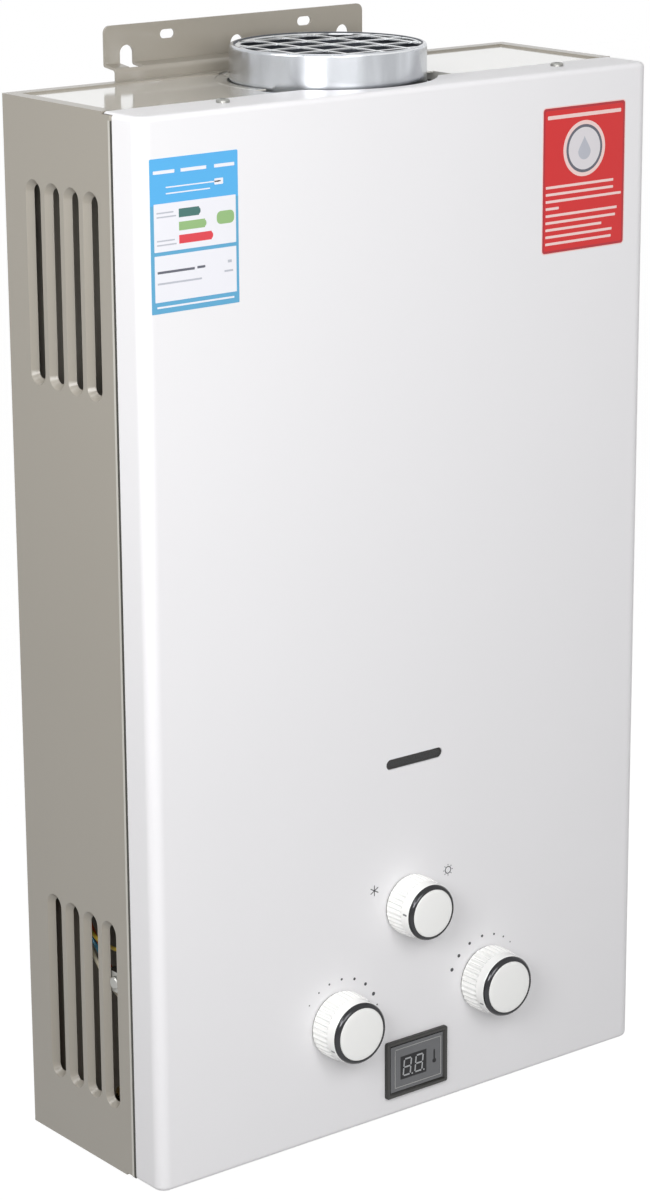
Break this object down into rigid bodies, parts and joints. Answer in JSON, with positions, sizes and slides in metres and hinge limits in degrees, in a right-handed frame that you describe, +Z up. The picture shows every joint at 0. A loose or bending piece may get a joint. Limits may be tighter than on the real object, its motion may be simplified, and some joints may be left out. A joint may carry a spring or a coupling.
{
  "type": "tankless water heater",
  "caption": "Wall-hung gas water heater: folded steel case, grilled flue collar, louvred sides, turning gas, water and season knobs, digital display, burner and finned exchanger inside.",
  "frame": {"origin": "on the wall face of the bracket, on the case's centre plane, at the height of the two wall slots", "axes": "+X to the right as seen from the front, +Y back into the wall, +Z up"},
  "size_m": [0.35, 0.1594, 0.6358],
  "materials": {
    "case_paint": "glossy warm grey paint on folded sheet steel",
    "cover_paint": "white baked paint on folded sheet steel",
    "plated_steel": "zinc-plated steel",
    "collar_steel": "bright rolled sheet steel",
    "copper": "drawn copper",
    "brass": "turned brass",
    "cast_alloy": "die-cast aluminium",
    "coil_plastic": "moulded coil cover",
    "white_plastic": "glossy white moulded plastic",
    "bright_trim": "chromed trim",
    "seal_rubber": "moulded rubber",
    "black_plastic": "black moulded plastic",
    "ceramic": "glazed ceramic with a steel pin",
    "cell_jacket": "printed cell jacket",
    "display_window": "dark clear window",
    "sight_glass": "smoked sight glass",
    "wire_cover": "coloured wire insulation"
  },
  "bodies": {
    "heater": {"rear_housing": "case_paint", "top_panel": "case_paint", "bottom_panel": "case_paint", "front_cover": "cover_paint", "case_screws": "plated_steel", "wall_bracket": "case_paint", "bracket_rivets": "plated_steel", "flue_collar": "collar_steel", "flue_grille": "collar_steel", "flue_hood": "collar_steel", "exchanger_jacket": "copper", "fin_block": "copper", "exchanger_tubes": "copper", "jacket_coil": "copper", "hot_outlet_pipe": "copper", "hot_outlet_fitting": "brass", "burner_frame": "plated_steel", "burner_bars": "collar_steel", "burner_bracket": "plated_steel", "gas_manifold": "cast_alloy", "gas_nozzles": "brass", "gas_feed_pipe": "plated_steel", "gas_valve_body": "cast_alloy", "gas_inlet_fitting": "brass", "gas_solenoid": "coil_plastic", "water_valve_body": "brass", "diaphragm_cover": "brass", "diaphragm": "seal_rubber", "valve_screws": "plated_steel", "cold_inlet_fitting": "brass", "drain_valve": "brass", "microswitch": "black_plastic", "electrodes": "ceramic", "ignition_controller": "black_plastic", "thermostats": "plated_steel", "battery_box": "black_plastic", "battery_hinge_pin": "plated_steel", "batteries": "cell_jacket", "battery_contacts": "plated_steel", "display_module": "black_plastic", "display_bezel": "black_plastic", "display_lens": "display_window", "window_glass": "sight_glass", "wiring_harness": "wire_cover"},
    "gas_control": {"gas_spindle": "brass", "gas_knob": "white_plastic", "gas_knob_ring": "bright_trim", "gas_knob_cap": "white_plastic"},
    "water_control": {"water_spindle": "brass", "water_knob": "white_plastic", "water_knob_ring": "bright_trim", "water_knob_cap": "white_plastic"},
    "season_control": {"season_spindle": "brass", "season_knob": "white_plastic", "season_knob_ring": "bright_trim", "season_knob_cap": "white_plastic"},
    "water_rod": {"push_rod": "brass"},
    "switch_lever": {"microswitch_lever": "plated_steel"},
    "door": {"battery_door": "black_plastic"},
    "drain_control": {"drain_knob": "black_plastic"}
  },
  "joints": [
    {"name": "gas_turn", "type": "hinge", "parent": "heater", "child": "gas_control", "pos_m": [-0.0505, -0.1386, -0.5432], "axis": [0, 1, 0], "range_deg": [0, 180]},
    {"name": "water_turn", "type": "hinge", "parent": "heater", "child": "water_control", "pos_m": [0.0588, -0.1386, -0.5432], "axis": [0, 1, 0], "range_deg": [0, 180]},
    {"name": "season_turn", "type": "hinge", "parent": "heater", "child": "season_control", "pos_m": [0.0012, -0.1386, -0.4835], "axis": [0, 1, 0], "range_deg": [0, 126]},
    {"name": "rod_travel", "type": "slide", "parent": "heater", "child": "water_rod", "axis": [-1, 0, 0], "range_m": [0, 0.003], "stiffness_N_per_m": 300},
    {"name": "lever_swing", "type": "hinge", "parent": "heater", "child": "switch_lever", "pos_m": [0.0004, -0.072, -0.5302], "axis": [0, 1, 0], "range_deg": [0, 24.6]},
    {"name": "door_swing", "type": "hinge", "parent": "heater", "child": "door", "pos_m": [0.129, -0.027, -0.6134], "axis": [1, 0, 0], "range_deg": [0, 100]},
    {"name": "drain_turn", "type": "hinge", "parent": "heater", "child": "drain_control", "pos_m": [0.03525, -0.072, -0.6178], "axis": [0, 0, -1], "range_deg": [0, 180]}
  ],
  "couplings": [
    {"joint": "lever_swing", "follows": "rod_travel", "rad_per_m": 142.86}
  ]
}
